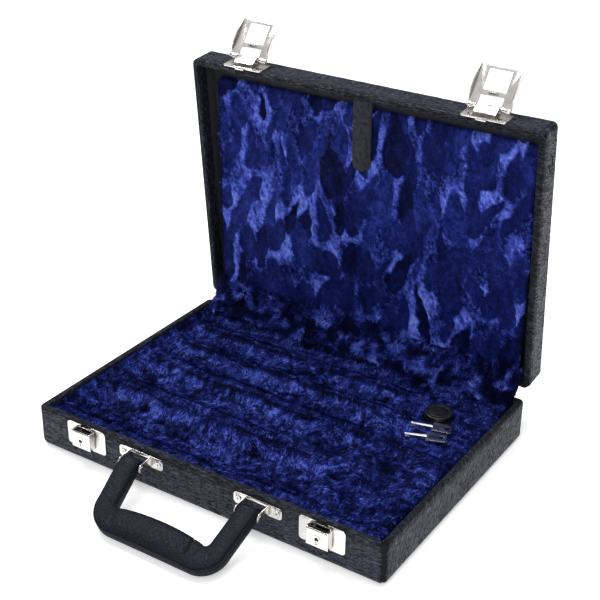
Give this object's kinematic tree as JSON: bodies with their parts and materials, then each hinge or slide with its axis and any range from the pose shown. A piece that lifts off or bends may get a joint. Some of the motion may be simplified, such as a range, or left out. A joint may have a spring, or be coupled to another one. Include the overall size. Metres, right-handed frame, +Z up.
{
  "type": "recorder case",
  "caption": "Hinged hard case for recorders: leatherette tray and lid, plush bed with channels, folding lid panel, hasp locks and a carrying handle, stored open.",
  "frame": {"origin": "centre of the base tray's bottom face", "axes": "+X to the case's right, -Y its front with locks and handle, +Z up"},
  "size_m": [0.34, 0.3472, 0.3208],
  "materials": {
    "board": "raw board",
    "leatherette": "grained, semi-gloss",
    "handle_leather": "fine grain, semi-gloss",
    "strap_leather": "smooth",
    "plush": "long crushed pile",
    "lining": "smooth black lining",
    "core": "moulded fibre",
    "nickel": "bright nickel plate",
    "steel": "plain steel",
    "key_steel": "bright pressed steel",
    "pot_plastic": "black, polished"
  },
  "bodies": {
    "base": {"base_bottom_board": "board", "base_front_board": "board", "base_rear_board": "board", "base_left_board": "board", "base_right_board": "board", "base_side_cover": "leatherette", "base_bottom_cover": "leatherette", "bed_core": "core", "bed_plush": "plush", "hinge_gusset": "plush", "hinge_leaf_base_left": "nickel", "hinge_leaf_base_right": "nickel", "hinge_pin_left": "nickel", "hinge_pin_right": "nickel", "hinge_screws_base": "nickel", "lock_plate_left": "nickel", "lock_plate_right": "nickel", "lock_box_left": "nickel", "lock_box_right": "nickel", "lock_spring_left": "steel", "lock_spring_right": "steel", "handle_bracket_left": "nickel", "handle_bracket_right": "nickel", "handle_pin_left": "nickel", "handle_pin_right": "nickel", "bracket_screws": "nickel"},
    "lid": {"lid_top_board": "board", "lid_front_board": "board", "lid_rear_board": "board", "lid_left_board": "board", "lid_right_board": "board", "lid_side_cover": "leatherette", "lid_top_cover": "leatherette", "lid_lining": "lining", "hinge_leaf_lid_left": "nickel", "hinge_leaf_lid_right": "nickel", "hinge_screws_lid": "nickel", "hasp_plate_left": "nickel", "hasp_plate_right": "nickel", "hasp_pin_left": "nickel", "hasp_pin_right": "nickel"},
    "hasp_left": {"hasp_left": "nickel"},
    "hasp_right": {"hasp_right": "nickel"},
    "handle": {"handle_core": "steel", "handle_cover": "handle_leather"},
    "lock_bolt_left": {"lock_bolt_left": "steel"},
    "lock_bolt_right": {"lock_bolt_right": "steel"},
    "lid_panel": {"panel_board": "board", "panel_plush": "plush", "panel_strap": "strap_leather"},
    "key_1": {"key_1": "key_steel"},
    "key_2": {"key_2": "key_steel"},
    "grease_pot": {"pot_jar": "pot_plastic"},
    "pot_lid": {"pot_lid": "pot_plastic"}
  },
  "joints": [
    {"name": "lid_hinge", "type": "hinge", "parent": "base", "child": "lid", "pos_m": [0, 0.1272, 0.03815], "axis": [1, 0, 0], "range_deg": [0, 84.5], "deforming": ["hinge_gusset"]},
    {"name": "hasp_left_swing", "type": "hinge", "parent": "lid", "child": "hasp_left", "pos_m": [-0.116, 0.11495, 0.29214], "axis": [1, 0, 0], "range_deg": [0, 133]},
    {"name": "hasp_right_swing", "type": "hinge", "parent": "lid", "child": "hasp_right", "pos_m": [0.116, 0.11495, 0.29214], "axis": [1, 0, 0], "range_deg": [0, 133]},
    {"name": "handle_swing", "type": "hinge", "parent": "base", "child": "handle", "pos_m": [0, -0.134, 0.0285], "axis": [-1, 0, 0], "range_deg": [0, 111.8]},
    {"name": "bolt_left_slide", "type": "slide", "parent": "base", "child": "lock_bolt_left", "axis": [0, 0, 1], "range_m": [0, 0.0033]},
    {"name": "bolt_right_slide", "type": "slide", "parent": "base", "child": "lock_bolt_right", "axis": [0, 0, 1], "range_m": [0, 0.0033]},
    {"name": "panel_fold", "type": "hinge", "parent": "lid", "child": "lid_panel", "pos_m": [0, 0.13028, 0.05673], "axis": [-1, 0, 0], "range_deg": [-60, 0]},
    {"name": "key_1_lift", "type": "slide", "parent": "base", "child": "key_1", "axis": [0, 0, -1], "range_m": [-0.03, 0]},
    {"name": "key_2_lift", "type": "slide", "parent": "base", "child": "key_2", "axis": [0, 0, -1], "range_m": [-0.03, 0]},
    {"name": "pot_lift", "type": "slide", "parent": "base", "child": "grease_pot", "axis": [0, 0, -1], "range_m": [-0.025, 0]},
    {"name": "pot_lid_lift", "type": "slide", "parent": "grease_pot", "child": "pot_lid", "axis": [0, 0, -1], "range_m": [-0.015, 0]}
  ]
}
